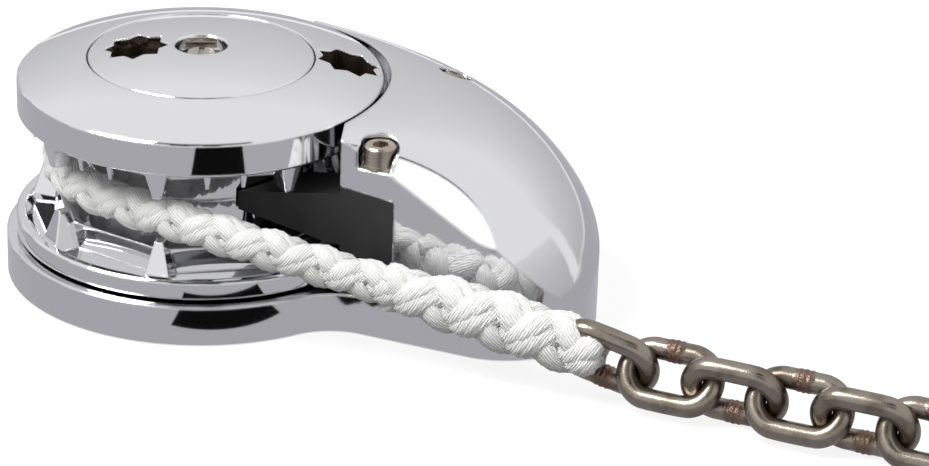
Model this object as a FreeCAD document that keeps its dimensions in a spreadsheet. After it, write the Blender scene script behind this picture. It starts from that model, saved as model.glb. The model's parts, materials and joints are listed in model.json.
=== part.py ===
import FreeCAD, Part
import math
import os
import re
import Sketcher

# Vertical anchor windlass with a rope and chain wheel, in millimetres.
# The origin is the main shaft's axis on the deck, +Z is up and +X points to the bow.
os.makedirs("parts", exist_ok=True)
doc = FreeCAD.newDocument("windlass")
sheet = doc.addObject("Spreadsheet::Sheet", "Sizes")

driving_sizes = {
    # Base and hood casting
    "base_height": 15.4,
    "dome_foot_z": 15.6, "dome_rise": 64.4, "dome_power": 4.65, "dome_root": 1.5,
    "hood_wall": 3.5, "well_clearance": 1.5,
    "hood_room_top": 58.5,
    "window_left_z": 57.4, "window_right_z": 55.2,
    "bevel_start_z": 76.7, "bevel_end_z": 36.3, "bevel_depth": 6, "bevel_rise": 9.2,
    # Deck side
    "gasket_depth": 2, "gasket_inset": 5,
    "stud_hole_radius": 3.4, "stud_hole_depth": 11, "stud_seal_radius": 5,
    "pipe_bore_radius": 17.5, "pipe_wall": 3.5, "pipe_lip_height": 3,
    "pipe_foot_z": 0.5,
    # Shaft, bush and clutch
    "socket_radius": 7.5, "socket_depth": 24, "keyway_width": 5, "keyway_depth": 2.3,
    "journal_radius": 15, "shaft_radius": 12.5, "thread_radius": 9, "shaft_foot_z": 0,
    "shaft_shoulder_z": 70.5, "shaft_top_z": 83, "collar_radius": 24, "collar_height": 3.5,
    "running_gap": 0.05, "cone_gap": 0.3, "face_gap": 0.1, "circlip_pocket_radius": 21,
    "circlip_pocket_depth": 4, "circlip_z": 2.1, "circlip_thickness": 1.6, "circlip_radius": 18.5,
    "circlip_groove": 1.4, "circlip_mouth": 6, "bush_wall": 3.5, "seal_wall": 5, "seal_height": 3,
    "thrust_washer_height": 0.8, "thrust_washer_radius": 23, "cone_big_radius": 25,
    "cone_small_radius": 19, "cone_height": 14.2, "key_height": 10, "key_width": 5, "key_stand": 2,
    # Rope and chain wheel
    "wheel_radius": 69.4, "wheel_gap": 0.8, "flange_height": 7.6, "groove_height": 40.7,
    "rim_width": 3.4, "rim_edge": 0.8, "rim_slope": 2.5, "pocket_depth": 3.2,
    "seat_height": 6.7, "pocket_count": 8, "wheel_phase": -78,
    "fin_width": 10.5, "fin_tip_width": 3.2, "fin_height": 11.4,
    "spike_size": 3.6, "spike_tip": 1.2, "spike_height": 6.5, "spike_angle": 6,
    "wheel_bush_wall": 1.5, "wheel_screw_count": 4, "wheel_screw_radius": 2.5,
    "wheel_screw_head_radius": 4.25, "wheel_screw_head_height": 5, "wheel_screw_top_z": 54,
    # Cap, clutch nut and star sockets
    "cap_edge_z": 77.7, "cap_inner_z": 84.7, "cap_crown": 0.7,
    "nut_gap": 0.4, "nut_floor_z": 76.2, "nut_hub_radius": 22, "nut_crown_z": 88.9, "nut_crown": 0.9,
    "spring_height": 1.3, "washer_height": 1.5, "washer_radius": 24,
    "star_depth": 9.5, "nut_star_floor_z": 79,
    "cap_star_angle": 27.5, "dish_radius": 9.6, "centre_head_radius": 6, "centre_head_height": 3,
    "centre_shank_radius": 4, "centre_shank_length": 17, "slot_width": 2.2, "slot_depth": 1.4,
    # Stripper and its screw
    "stripper_tip_half": 3.3, "stripper_root_half": 9.7,
    "stripper_gap": 0.15,
    "front_floor_z": 66, "screw_head_radius": 5.8, "screw_head_height": 7, "screw_radius": 4,
    "front_screw_length": 34, "screw_hex_radius": 3.2, "screw_hex_depth": 3.5, "screw_washer_radius": 6.3,
    "screw_washer_height": 1.4, "notch_radius": 7,
    # Pressure arm
    "arm_floor_z": 62.5, "arm_screw_radius": 3, "arm_screw_length": 54,
    "arm_head_radius": 5, "arm_head_height": 6, "arm_bush_wall": 1.2, "arm_boss_wall": 1.4,
    "arm_half_width": 2.5, "arm_low_z": 37.5, "arm_height": 13.3,
    "arm_foot_z": 24, "arm_relief_radius": 7.2, "arm_spring_wire": 1.2, "arm_spring_turns": 5,
    # Rope and chain
    "rope_diameter": 15.5, "chain_wire": 8, "chain_inner_width": 10.8, "chain_pitch": 24.15,
    "chain_lift": 0.2, "chain_count": 6, "chain_roll": 45,
    "chain_slack": 0.15,
}
# Plan sizes that grow with the wheel, as shares of its radius.
shares_of_wheel = {
    "base_radius": 1.053314, "front_wall_y": -0.446686, "front_blend_radius": 0.360231,
    "tail_near_radius": 0.489914, "tail_far_radius": 0.821326, "tail_far_x": 1.430836,
    "tail_y": 0.043228, "dome_centre_x": -0.112392, "dome_centre_y": 0.132565,
    "dome_half_length": 2.370317, "dome_half_width": 1.541787, "hood_near_x": 1.028818,
    "hood_lip_x": 0.979827, "hood_lip_y": -0.291066, "hood_far_x": 0.201729, "window_right_x": 1.332853,
    "bevel_end_x": 2.04611, "stud_spacing_x": 1.29683, "stud_spacing_y": 1.210375,
    "stud_centre_x": 0.100865, "pipe_x": 1.469741, "pipe_y": 0.403458, "waist_radius": 0.608069,
    "seat_root_radius": 0.619597, "seat_apothem": 0.763689, "fin_foot_radius": 0.943804,
    "fin_tip_radius": 0.883285, "fin_inner_radius": 0.74928, "fin_inner_tip": 0.821326,
    "spike_radius": 0.907781, "cap_radius": 0.985591, "nut_radius": 0.606628, "nut_star_x": -0.317003,
    "nut_star_y": -0.144092, "cap_star_radius": 0.789625, "star_square": 0.252161,
    "stripper_tip_x": 0.417867, "stripper_back_y": -0.144092, "stripper_root_x": 0.958213,
    "front_screw_x": 1.216138, "front_screw_y": -0.360231, "arm_x": 1.152738, "arm_y": 0.785303,
    "arm_tip_x": 0.403458, "arm_tip_y": 0.838617, "chain_first_x": 2.587896, "chain_y": -0.54755,
    "wheel_screw_circle": 0.45389,
}
shared_heights = {
    "wheel_foot_z": "base_height + wheel_gap",
    "groove_low_z": "wheel_foot_z + flange_height",
    "groove_high_z": "groove_low_z + groove_height",
    "wheel_mid_z": "groove_low_z + groove_height / 2",
    "collar_foot_z": "base_height + thrust_washer_height + face_gap",
    "cone_foot_z": "collar_foot_z + collar_height",
    "cone_top_z": "cone_foot_z + cone_height",
    "upper_cone_foot_z": "2 * wheel_mid_z - cone_top_z",
    "upper_cone_top_z": "2 * wheel_mid_z - cone_foot_z",
    "washer_foot_z": "upper_cone_top_z + 2 * spring_height + face_gap",
    "nut_foot_z": "washer_foot_z + washer_height",
    "pocket_floor_z": "groove_low_z - pocket_depth",
    "pocket_roof_z": "groove_high_z + pocket_depth",
    "seat_top_z": "groove_low_z + seat_height",
    "seat_bottom_z": "groove_high_z - seat_height",
    "well_radius": "wheel_radius + well_clearance",
    "seal_foot_z": "base_height - seal_height",
}
for row, (name, value) in enumerate(driving_sizes.items(), start=1):
    sheet.set("A%d" % row, name)
    sheet.set("B%d" % row, str(value))
    sheet.setAlias("B%d" % row, name)
worked_out = {name: "wheel_radius * (%s)" % share for name, share in shares_of_wheel.items()}
worked_out.update(shared_heights)
for row, (name, formula) in enumerate(worked_out.items(), start=len(driving_sizes) + 1):
    sheet.set("A%d" % row, name)
    sheet.set("B%d" % row, "=" + formula)
    sheet.setAlias("B%d" % row, name)
doc.recompute()
size = {name: float(sheet.get(name)) for name in list(driving_sizes) + list(worked_out)}
whole_turn = 360
finished = []


def in_sheet(formula):
    """A formula of plain names, with each name as a cell of the sheet."""
    return re.sub(r"[a-z][a-z_]*[a-z]", lambda found: "Sizes." + found.group(0), formula)


def worth(formula):
    """The number that a formula of plain names comes to."""
    numbers = re.sub(r"[a-z][a-z_]*[a-z]", lambda found: "(%r)" % size[found.group(0)], formula)
    return FreeCAD.Units.Quantity("(" + numbers + ") mm").Value


def bind(item, **formulas):
    """Binds an object's properties to formulas of the sheet's names."""
    for name, formula in formulas.items():
        item.setExpression(name, in_sheet(formula))


def keep(item, label):
    """Marks a body or feature as a finished sub-part."""
    item.Label = label
    finished.append(item)
    return item


def origin_item(body, role):
    """The body's own origin plane or axis of that role."""
    return [item for item in body.Origin.OriginFeatures if item.Role == role][0]


def new_sketch(body, name, role, lift="0"):
    """An empty sketch on one of the body's origin planes, lifted along the plane's normal."""
    sketch = body.newObject("Sketcher::SketchObject", name)
    sketch.AttachmentSupport = (origin_item(body, role), [""])
    sketch.MapMode = "FlatFace"
    if lift != "0":
        sketch.setExpression("AttachmentOffset.Base.z", in_sheet(lift))
    return sketch


def closed_profile(sketch, corners):
    """Draws edges round the corners, given anticlockwise. A third value crowns the edge to the next corner."""
    places = [FreeCAD.Vector(worth(corner[0]), worth(corner[1]), 0) for corner in corners]
    count = len(corners)
    for index, corner in enumerate(corners):
        here, after = places[index], places[(index + 1) % count]
        edge = Part.LineSegment(here, after)
        if len(corner) > 2:
            outward = FreeCAD.Vector(after.y - here.y, here.x - after.x, 0).normalize()
            edge = Part.ArcOfCircle(here, (here + after) / 2 + outward * worth(corner[2]), after)
        sketch.addGeometry(edge)
    for index in range(count):
        sketch.addConstraint(Sketcher.Constraint("Coincident", index, 2, (index + 1) % count, 1))
    for index, corner in enumerate(corners):
        for kind, formula in zip(("DistanceX", "DistanceY"), corner):
            number = sketch.addConstraint(Sketcher.Constraint(kind, -1, 1, index, 1, worth(formula)))
            sketch.setExpression("Constraints[%d]" % number, in_sheet(formula))
        if len(corner) > 2:
            after = corners[(index + 1) % count]
            chord = "(((%s) - (%s)) ^ 2 + ((%s) - (%s)) ^ 2)" % (after[0], corner[0], after[1], corner[1])
            radius = "%s / (8 * (%s)) + (%s) / 2" % (chord, corner[2], corner[2])
            round_edge = Sketcher.Constraint("Radius", index, sketch.Geometry[index].Radius)
            number = sketch.addConstraint(round_edge)
            sketch.setExpression("Constraints[%d]" % number, in_sheet(radius))


def turned_body(label, corners):
    """A body turned about the vertical axis from a profile of radius and height."""
    body = doc.addObject("PartDesign::Body", label + "_body")
    sketch = new_sketch(body, label + "_profile", "XZ_Plane")
    closed_profile(sketch, corners)
    turn = body.newObject("PartDesign::Revolution", label + "_turn")
    turn.Profile = sketch
    turn.ReferenceAxis = (sketch, ["V_Axis"])
    turn.Angle = whole_turn
    doc.recompute()
    return keep(body, label)


def cut_round_hole(body, name, radius, foot, height, place_x="0", place_y="0"):
    """Cuts a vertical round hole with a subtractive cylinder."""
    hole = body.newObject("PartDesign::SubtractiveCylinder", name)
    bind(hole, Radius=radius, Height=height)
    for letter, formula in zip("xyz", (place_x, place_y, foot)):
        hole.setExpression("Placement.Base." + letter, in_sheet(formula))
    return hole


def repeat_round(body, original, count):
    """Repeats a feature evenly about the vertical axis."""
    ring = body.newObject("PartDesign::PolarPattern", original.Name + "_ring")
    ring.Originals = [original]
    ring.Axis = (origin_item(body, "Z_Axis"), [""])
    ring.Angle = whole_turn
    ring.setExpression("Occurrences", in_sheet(count))
    body.Tip = ring
    doc.recompute()
    return ring


def tapered_tooth(body, name, sizes, turn, flipped):
    """A tooth that stands on the wheel's flange, or hangs from it when flipped."""
    tooth = body.newObject("PartDesign::AdditiveWedge", name)
    bind(tooth, **sizes)
    tip_over = FreeCAD.Rotation(FreeCAD.Vector(1, 0, 0), -90 if flipped else 90)
    swing = FreeCAD.Rotation(FreeCAD.Vector(0, 0, 1), turn - 90 if flipped else turn + 90)
    tooth.Placement = FreeCAD.Placement(FreeCAD.Vector(0, 0, 0), swing * tip_over)
    return tooth


def cut_star(body, name, place, angle, foot):
    """Cuts the eight-pointed handle socket as two squares an eighth of a turn apart."""
    for number, twist in enumerate((0, 45)):
        square = body.newObject("PartDesign::SubtractiveBox", "%s_square_%d" % (name, number + 1))
        bind(square, Length="star_square", Width="star_square", Height="3 * star_depth")
        turn = FreeCAD.Rotation(FreeCAD.Vector(0, 0, 1), angle + twist)
        corner = FreeCAD.Vector(-size["star_square"] / 2, -size["star_square"] / 2, 0)
        square.Placement = FreeCAD.Placement(place + FreeCAD.Vector(0, 0, foot) + turn.multVec(corner), turn)


def plain(shape, name):
    """A feature whose shape is worked out from the sheet's values."""
    item = doc.addObject("Part::Feature", name)
    item.Shape = shape
    return item


def point(across, along, up=0.0):
    return FreeCAD.Vector(across, along, up)


def prism(corners, low, high):
    """An upright solid over a plan outline of straight edges."""
    face = Part.Face(Part.makePolygon([point(x, y, low) for x, y in corners + corners[:1]]))
    return face.extrude(point(0, 0, high - low))


def round_post(radius, low, high, across=0.0, along=0.0):
    return Part.makeCylinder(radius, high - low, point(across, along, low))


# Plan outline of the base and hood, as arcs and tangent lines. The inset moves every edge inwards.
def plan_outline(inset=0.0):
    drum = size["base_radius"] - inset
    blend = size["front_blend_radius"] + inset
    near, far = size["tail_near_radius"] - inset, size["tail_far_radius"] - inset
    wall = size["front_wall_y"] + inset
    blend_y = wall - blend
    blend_x = math.sqrt((drum + blend) ** 2 - blend_y ** 2)
    drum_leave = point(blend_x, blend_y) * (drum / (drum + blend))
    far_centre = point(size["tail_far_x"], size["tail_y"])
    near_centre = point(far_centre.x + far - near, size["tail_y"])
    normal = math.atan2(far_centre.y, far_centre.x) + math.acos((drum - far) / far_centre.Length)
    outward = point(math.cos(normal), math.sin(normal))
    middle = math.radians(45)
    blend_middle = point(blend_x, blend_y) + (point(0, blend) - point(blend_x, blend_y).normalize() * blend
                                              ).normalize() * blend
    near_start = point(near_centre.x, near_centre.y - near)
    edges = [
        Part.Arc(drum_leave, blend_middle, point(blend_x, wall)),
        Part.LineSegment(point(blend_x, wall), near_start),
        Part.Arc(near_start, near_centre + point(math.cos(middle), -math.sin(middle)) * near,
                 near_centre + point(near, 0)),
        Part.Arc(far_centre + point(far, 0), far_centre + point(math.cos(normal / 2), math.sin(normal / 2)) * far,
                 far_centre + outward * far),
        Part.LineSegment(far_centre + outward * far, outward * drum),
        Part.Arc(outward * drum, point(-drum, 0), drum_leave),
    ]
    return Part.Wire([edge.toShape() for edge in edges])


def dome_solid(drop=0.0):
    """The hood's dome, a crowned profile turned about its own axis and drawn out to an oval."""
    reach = size["dome_half_width"]
    shares = (0, 0.25, 0.42, 0.56, 0.68, 0.78, 0.86, 0.92, 0.96, 0.985, 1)
    foot = size["dome_foot_z"]
    crown = [point(reach * share, 0, foot + size["dome_rise"] * (1 - share ** size["dome_power"])
                   ** (1 / size["dome_root"])) for share in shares]
    profile = Part.BSplineCurve()
    profile.interpolate(crown, InitialTangent=point(1, 0, 0), FinalTangent=point(0, 0, -1))
    foot_corner, axis_foot = point(reach, 0, -1), point(0, 0, -1)
    outline = Part.Wire([profile.toShape(), Part.LineSegment(crown[-1], foot_corner).toShape(),
                         Part.LineSegment(foot_corner, axis_foot).toShape(),
                         Part.LineSegment(axis_foot, crown[0]).toShape()])
    round_dome = Part.Face(outline).revolve(point(0, 0, 0), point(0, 0, 1), whole_turn)
    stretch = FreeCAD.Matrix()
    stretch.scale(size["dome_half_length"] / reach, 1, 1)
    oval = round_dome.transformGeometry(stretch)
    oval.translate(point(size["dome_centre_x"], size["dome_centre_y"], -drop))
    return oval


def housing_feature():
    """The cast base with its hood, hollow over the rope's way to the chain pipe."""
    tall = size["dome_foot_z"] + 2 * size["dome_rise"]
    far_side = 3 * size["base_radius"]
    plan = plain(Part.Face(plan_outline()).extrude(point(0, 0, tall)), "housing_plan")
    dome = plain(dome_solid(), "housing_dome")
    blank = doc.addObject("Part::MultiCommon", "housing_blank")
    blank.Shapes = [plan, dome]
    doc.recompute()
    floor = size["base_height"]
    near_x, wall_y = size["hood_near_x"], size["front_wall_y"]
    well = round_post(size["well_radius"], floor, tall)
    open_side = prism([(-far_side, -far_side), (size["front_screw_x"], -far_side),
                       (size["front_screw_x"], wall_y), (near_x, wall_y),
                       (size["hood_lip_x"], size["hood_lip_y"]), (0, 0), (size["hood_far_x"], 0),
                       (size["hood_far_x"], far_side), (-far_side, far_side)], floor, tall)
    window = Part.Face(Part.makePolygon([
        point(size["hood_lip_x"], wall_y - 1, floor), point(size["window_right_x"], wall_y - 1, floor),
        point(size["window_right_x"], wall_y - 1, size["window_right_z"]),
        point(near_x, wall_y - 1, size["window_left_z"]),
        point(size["hood_lip_x"], wall_y - 1, size["window_left_z"]),
        point(size["hood_lip_x"], wall_y - 1, floor)])).extrude(point(0, size["stripper_back_y"] - wall_y + 1, 0))
    room_plan = Part.Face(plan_outline(size["hood_wall"])).extrude(point(0, 0, size["hood_room_top"] - floor))
    room_plan.translate(point(0, 0, floor))
    beyond_stripper = prism([(size["hood_lip_x"] - near_x, size["stripper_back_y"]),
                             (size["pipe_x"], size["stripper_back_y"]), (size["pipe_x"], far_side),
                             (size["hood_lip_x"] - near_x, far_side)], floor, size["hood_room_top"])
    round_end = round_post(size["pipe_bore_radius"] + 2 * size["pipe_wall"], floor, size["hood_room_top"],
                           size["pipe_x"], size["pipe_y"])
    room = room_plan.common(beyond_stripper.fuse(round_end)).common(dome_solid(2 * size["hood_wall"]))
    arm_relief = round_post(size["arm_relief_radius"], floor, size["hood_room_top"], size["arm_x"], size["arm_y"])
    start = point(near_x, wall_y, size["bevel_start_z"])
    run = point(size["bevel_end_x"], wall_y, size["bevel_end_z"]) - start
    back = point(0, size["bevel_depth"], size["bevel_rise"])
    reach = 6
    bevel_face = Part.Face(Part.makePolygon([start - run, start - run + back * reach,
                                             start - run - point(0, far_side, 0), start - run]))
    bevel = bevel_face.extrude(run * 3)
    front_x, front_y = size["front_screw_x"], size["front_screw_y"]
    notch = round_post(size["notch_radius"], size["front_floor_z"], tall, front_x, front_y)
    half_slot = size["notch_radius"] * math.cos(math.radians(27))
    slot = prism([(front_x - half_slot, wall_y - 1), (front_x + half_slot, wall_y - 1),
                  (front_x + half_slot, front_y), (front_x - half_slot, front_y)], size["front_floor_z"], tall)
    arm_notch = round_post(size["arm_head_radius"] + 1.2, size["arm_floor_z"], tall, size["arm_x"], size["arm_y"])
    holes = [
        round_post(size["screw_radius"], size["window_right_z"] - 2, tall, front_x, front_y),
        round_post(size["arm_screw_radius"], size["arm_floor_z"] - size["arm_screw_length"], tall,
                   size["arm_x"], size["arm_y"]),
        round_post(size["pipe_bore_radius"] + size["pipe_wall"], -1, floor + 1, size["pipe_x"], size["pipe_y"]),
        round_post(size["circlip_pocket_radius"], -1, size["circlip_pocket_depth"]),
        round_post(size["journal_radius"] + size["bush_wall"], 0, size["seal_foot_z"]),
        round_post(size["journal_radius"] + size["seal_wall"], size["seal_foot_z"], floor + 1),
        Part.Face(plan_outline(size["gasket_inset"])).extrude(point(0, 0, size["gasket_depth"])),
    ]
    for across in (-size["stud_spacing_x"] / 2, size["stud_spacing_x"] / 2):
        for along in (-size["stud_spacing_y"] / 2, size["stud_spacing_y"] / 2):
            holes.append(round_post(size["stud_hole_radius"], -1, size["stud_hole_depth"],
                                    size["stud_centre_x"] + across, along))
    tools = [well, open_side, window, room, arm_relief, bevel, notch, slot, arm_notch] + holes
    cutters = doc.addObject("Part::MultiFuse", "housing_cutters")
    cutters.Shapes = [plain(tool, "housing_cut_%d" % number) for number, tool in enumerate(tools, start=1)]
    housing = doc.addObject("Part::Cut", "housing_cut")
    housing.Base = blank
    housing.Tool = cutters
    doc.recompute()
    return keep(housing, "deck_housing")


def deck_parts():
    """What the casting carries at the deck and round the shaft."""
    gasket_plan = Part.Face(plan_outline(size["gasket_inset"] + size["stripper_gap"]))
    gasket = gasket_plan.extrude(point(0, 0, size["gasket_depth"]))
    through = size["gasket_depth"] + 1
    openings = [round_post(size["circlip_pocket_radius"] + 1, -1, through),
                round_post(size["pipe_bore_radius"] + size["pipe_wall"] + 1, -1, through,
                           size["pipe_x"], size["pipe_y"])]
    for across in (-size["stud_spacing_x"] / 2, size["stud_spacing_x"] / 2):
        for along in (-size["stud_spacing_y"] / 2, size["stud_spacing_y"] / 2):
            openings.append(round_post(size["stud_seal_radius"], -1, through, size["stud_centre_x"] + across, along))
    blank = plain(gasket, "gasket_blank")
    holes = doc.addObject("Part::MultiFuse", "gasket_holes")
    holes.Shapes = [plain(hole, "gasket_hole_%d" % number) for number, hole in enumerate(openings, start=1)]
    cut = doc.addObject("Part::Cut", "gasket_cut")
    cut.Base = blank
    cut.Tool = holes
    keep(cut, "deck_gasket")

    turned_body("shaft_bush", [
        ("journal_radius + running_gap", "circlip_pocket_depth"),
        ("journal_radius + bush_wall", "circlip_pocket_depth"),
        ("journal_radius + bush_wall", "seal_foot_z"),
        ("journal_radius + running_gap", "seal_foot_z")])
    turned_body("shaft_seal", [
        ("journal_radius + running_gap", "seal_foot_z"),
        ("journal_radius + seal_wall", "seal_foot_z"),
        ("journal_radius + seal_wall", "base_height"),
        ("journal_radius + 2 * seal_wall / 3", "base_height"),
        ("journal_radius + seal_wall / 2", "base_height - seal_height / 3"),
        ("journal_radius + running_gap", "base_height - seal_height / 3")])
    turned_body("thrust_washer", [
        ("journal_radius + 2 * face_gap", "base_height"),
        ("thrust_washer_radius", "base_height"),
        ("thrust_washer_radius", "base_height + thrust_washer_height"),
        ("journal_radius + 2 * face_gap", "base_height + thrust_washer_height")])
    liner = turned_body("chain_pipe", [
        ("pipe_bore_radius", "pipe_foot_z"),
        ("pipe_bore_radius + pipe_wall", "pipe_foot_z"),
        ("pipe_bore_radius + pipe_wall", "base_height"),
        ("pipe_bore_radius + 1.6 * pipe_wall", "base_height"),
        ("pipe_bore_radius + 1.6 * pipe_wall", "base_height + pipe_lip_height / 3"),
        ("pipe_bore_radius + 1.3 * pipe_wall", "base_height + pipe_lip_height"),
        ("pipe_bore_radius + pipe_wall / 2", "base_height + pipe_lip_height"),
        ("pipe_bore_radius", "base_height - pipe_wall")])
    liner.setExpression("Placement.Base.x", in_sheet("pipe_x"))
    liner.setExpression("Placement.Base.y", in_sheet("pipe_y"))


def stripper_feature():
    """The finger that lifts the rope and chain out of the wheel's groove."""
    gap, wall_y = size["stripper_gap"], size["front_wall_y"]
    floor, back_y = size["base_height"], size["stripper_back_y"]
    near_x, right_x = size["hood_near_x"] + gap, size["window_right_x"] - gap
    middle, tip, root = size["wheel_mid_z"], size["stripper_tip_half"], size["stripper_root_half"]
    block = Part.Face(Part.makePolygon([
        point(near_x, wall_y, floor), point(right_x, wall_y, floor),
        point(right_x, wall_y, size["window_right_z"] - gap),
        point(near_x, wall_y, size["window_left_z"] - gap), point(near_x, wall_y, floor)]))
    finger = Part.Face(Part.makePolygon([
        point(size["stripper_tip_x"], wall_y, middle - tip), point(size["stripper_root_x"], wall_y, middle - root),
        point(near_x, wall_y, middle - root), point(near_x, wall_y, middle + root),
        point(size["stripper_root_x"], wall_y, middle + root), point(size["stripper_tip_x"], wall_y, middle + tip),
        point(size["stripper_tip_x"], wall_y, middle - tip)]))
    deep = point(0, back_y - gap - wall_y, 0)
    pieces = doc.addObject("Part::MultiFuse", "stripper_blank")
    pieces.Shapes = [plain(block.extrude(deep), "stripper_block"), plain(finger.extrude(deep), "stripper_finger")]
    waist = doc.addObject("Part::Cylinder", "stripper_hollow")
    bind(waist, Radius="waist_radius + screw_washer_height", Height="cap_inner_z")
    screw_hole = doc.addObject("Part::Cylinder", "stripper_screw_hole")
    bind(screw_hole, Radius="screw_radius", Height="cap_inner_z")
    screw_hole.setExpression("Placement.Base.x", in_sheet("front_screw_x"))
    screw_hole.setExpression("Placement.Base.y", in_sheet("front_screw_y"))
    screw_hole.setExpression("Placement.Base.z", in_sheet("front_floor_z - front_screw_length"))
    hollows = doc.addObject("Part::MultiFuse", "stripper_hollows")
    hollows.Shapes = [waist, screw_hole]
    cut = doc.addObject("Part::Cut", "stripper_cut")
    cut.Base = pieces
    cut.Tool = hollows
    keep(cut, "stripper")


def cap_screw(label, shank, length, head, head_height, place, foot, hexagon=None):
    """A socket-head screw whose head stands on the height called foot."""
    screw = turned_body(label, [
        ("0", "-(%s)" % length), (shank, "-(%s)" % length), (shank, "0"), (head, "0"),
        (head, head_height + " - screw_washer_height / 2"),
        (head + " - screw_washer_height / 2", head_height), ("0", head_height)])
    if hexagon:
        socket = new_sketch(screw, label + "_socket", "XY_Plane", head_height)
        corners = [("%s * %.6f" % (hexagon, math.cos(math.radians(60 * turn))),
                    "%s * %.6f" % (hexagon, math.sin(math.radians(60 * turn)))) for turn in range(6)]
        closed_profile(socket, corners)
        pocket = screw.newObject("PartDesign::Pocket", label + "_pocket")
        pocket.Profile = socket
        pocket.setExpression("Length", in_sheet("screw_hex_depth"))
        doc.recompute()
    for letter, formula in zip("xyz", place + (foot,)):
        screw.setExpression("Placement.Base." + letter, in_sheet(formula))
    return screw


def ring(label, inner, outer, height, place, foot):
    """A flat ring, such as a washer or a bush."""
    body = turned_body(label, [(inner, "0"), (outer, "0"), (outer, height), (inner, height)])
    for letter, formula in zip("xyz", place + (foot,)):
        body.setExpression("Placement.Base." + letter, in_sheet(formula))
    return body


def hood_fasteners():
    front, arm = ("front_screw_x", "front_screw_y"), ("arm_x", "arm_y")
    ring("stripper_washer", "screw_radius + running_gap", "screw_washer_radius", "screw_washer_height",
         front, "front_floor_z")
    cap_screw("stripper_screw", "screw_radius", "front_screw_length + screw_washer_height", "screw_head_radius",
              "screw_head_height", front, "front_floor_z + screw_washer_height", "screw_hex_radius")
    cap_screw("arm_pivot_screw", "arm_screw_radius", "arm_screw_length", "arm_head_radius", "arm_head_height",
              arm, "arm_floor_z", "arm_head_radius / 2")
    ring("arm_bush", "arm_screw_radius", "arm_screw_radius + arm_bush_wall",
         "hood_room_top - base_height", arm, "base_height")


def pressure_arm():
    """The sprung arm that keeps the slack rope against the wheel."""
    foot, top = size["arm_foot_z"], size["arm_low_z"] + size["arm_height"]
    x, y = size["arm_x"], size["arm_y"]
    hub = size["arm_screw_radius"] + size["arm_bush_wall"] + size["running_gap"]
    outer = hub + size["arm_boss_wall"]
    half = size["arm_half_width"]
    tip = point(size["arm_tip_x"], size["arm_tip_y"])
    along = (tip - point(x, y)).normalize()
    side = point(-along.y, along.x) * half
    bar = prism([(corner.x, corner.y) for corner in (point(x, y) + side, tip + side, tip - side,
                                                     point(x, y) - side)], size["arm_low_z"], top)
    parts = doc.addObject("Part::MultiFuse", "arm_blank")
    parts.Shapes = [plain(bar, "arm_bar"), plain(round_post(half, size["arm_low_z"], top, tip.x, tip.y), "arm_nose"),
                    plain(round_post(outer, foot, top, x, y), "arm_boss")]
    bore = doc.addObject("Part::Cylinder", "arm_bore")
    bind(bore, Radius="arm_screw_radius + arm_bush_wall + running_gap", Height="hood_room_top")
    bore.setExpression("Placement.Base.x", in_sheet("arm_x"))
    bore.setExpression("Placement.Base.y", in_sheet("arm_y"))
    arm = doc.addObject("Part::Cut", "arm_cut")
    arm.Base = parts
    arm.Tool = bore
    keep(arm, "pressure_arm")
    coil_radius = size["arm_screw_radius"] + size["arm_bush_wall"] + size["arm_spring_wire"]
    steps = 8
    rise = (foot - size["base_height"] - 2 * size["arm_spring_wire"]) / (steps * size["arm_spring_turns"])
    bends = [point(coil_radius * math.cos(math.radians(whole_turn / steps * number)),
                   coil_radius * math.sin(math.radians(whole_turn / steps * number)), rise * number)
             for number in range(int(steps * size["arm_spring_turns"]) + 1)]
    wire_end = Part.makeCircle(size["arm_spring_wire"] / 2, bends[0], bends[1] - bends[0])
    ring_points = [wire_end.valueAt(math.radians(60 * number)) for number in range(6)]
    section = Part.Wire(Part.makePolygon(ring_points + ring_points[:1]))
    coil = Part.Wire(Part.makePolygon(bends)).makePipeShell([section], True, False, 1)
    coil.translate(point(x, y, size["base_height"] + size["arm_spring_wire"]))
    keep(plain(coil, "arm_spring_coil"), "arm_spring")


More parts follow.
